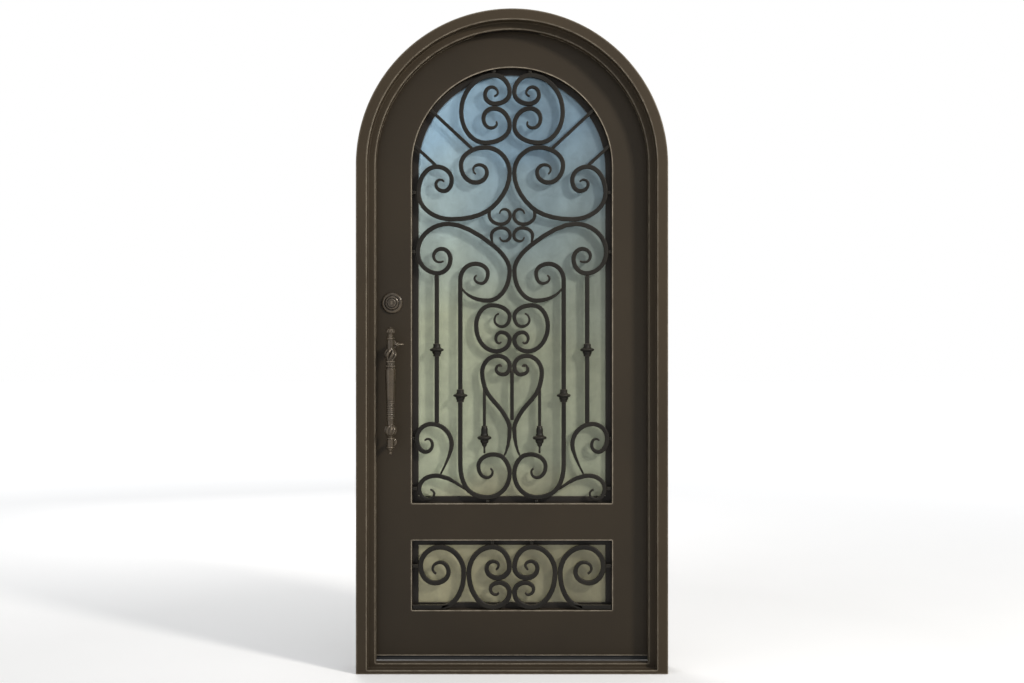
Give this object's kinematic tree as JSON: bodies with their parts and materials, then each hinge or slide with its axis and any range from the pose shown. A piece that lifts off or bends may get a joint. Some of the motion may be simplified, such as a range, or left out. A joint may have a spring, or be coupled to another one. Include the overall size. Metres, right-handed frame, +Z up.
{
  "type": "wrought iron door",
  "caption": "Arched steel entry door in its frame, with frosted glass behind a scrolled iron grille, a turned pull, a thumb lever and a deadbolt.",
  "frame": {"origin": "underside of the sill, midway across the frame's width and depth", "axes": "+X to the hinge side along the wall, +Y from outdoors to indoors, +Z up"},
  "size_m": [0.965, 0.21, 2.0569],
  "materials": {
    "frame_paint": "satin dark bronze paint",
    "leaf_paint": "satin dark bronze paint",
    "rim_paint": "satin near-black paint",
    "wrought_iron": "hand-rubbed dark bronze over hammered iron",
    "frosted_glass": "frosted and rippled",
    "aged_bronze": "oil-rubbed bronze, worn bright on the edges",
    "lock_brass": "brushed",
    "hinge_steel": "painted with the frame, bare at the pins",
    "rubber": "matte black"
  },
  "bodies": {
    "frame": {"sill": "frame_paint", "jamb_lock_side": "frame_paint", "jamb_hinge_side": "frame_paint", "frame_arch": "frame_paint", "stop_lock_side": "frame_paint", "stop_hinge_side": "frame_paint", "stop_arch": "frame_paint", "weather_seal": "rubber", "strike_plates": "lock_brass", "hinge_frame_knuckles": "hinge_steel", "hinge_pins": "hinge_steel"},
    "leaf": {"lock_stile": "leaf_paint", "hinge_stile": "leaf_paint", "bottom_rail": "leaf_paint", "middle_rail": "leaf_paint", "arched_rail": "leaf_paint", "door_sweep": "rubber", "upper_glass": "frosted_glass", "upper_glass_rim": "rim_paint", "upper_sash": "leaf_paint", "lower_glass": "frosted_glass", "lower_glass_rim": "rim_paint", "lower_sash": "leaf_paint", "crown_scrolls": "wrought_iron", "fan_scrolls": "wrought_iron", "centre_curls_upper": "wrought_iron", "centre_curls_lower": "wrought_iron", "shoulder_scrolls": "wrought_iron", "long_scrolls": "wrought_iron", "mid_scrolls": "wrought_iron", "heart_scrolls": "wrought_iron", "heart_stem": "wrought_iron", "foot_scrolls": "wrought_iron", "corner_scrolls": "wrought_iron", "spokes": "wrought_iron", "outer_pickets": "wrought_iron", "pendants": "wrought_iron", "picket_collars": "wrought_iron", "panel_outer_scrolls": "wrought_iron", "panel_inner_scrolls": "wrought_iron", "grille_pegs": "wrought_iron", "panel_pegs": "wrought_iron", "deadbolt_rose": "aged_bronze", "deadbolt_turn": "aged_bronze", "lock_faceplates": "lock_brass", "front_pull": "aged_bronze", "front_pull_posts": "aged_bronze", "back_pull": "aged_bronze", "back_pull_posts": "aged_bronze", "hinge_leaf_knuckles": "hinge_steel"},
    "thumb": {"thumb_lever": "aged_bronze"}
  },
  "joints": [
    {"name": "leaf_swing", "type": "hinge", "parent": "frame", "child": "leaf", "pos_m": [0.4385, 0.076, 0.8], "axis": [0, 0, -1], "range_deg": [0, 105]},
    {"name": "thumb_press", "type": "hinge", "parent": "leaf", "child": "thumb", "pos_m": [-0.359, -0.0125, 1.018], "axis": [1, 0, 0], "range_deg": [0, 14], "stiffness_Nm_per_rad": 0.6, "springref_deg": -14.32}
  ]
}
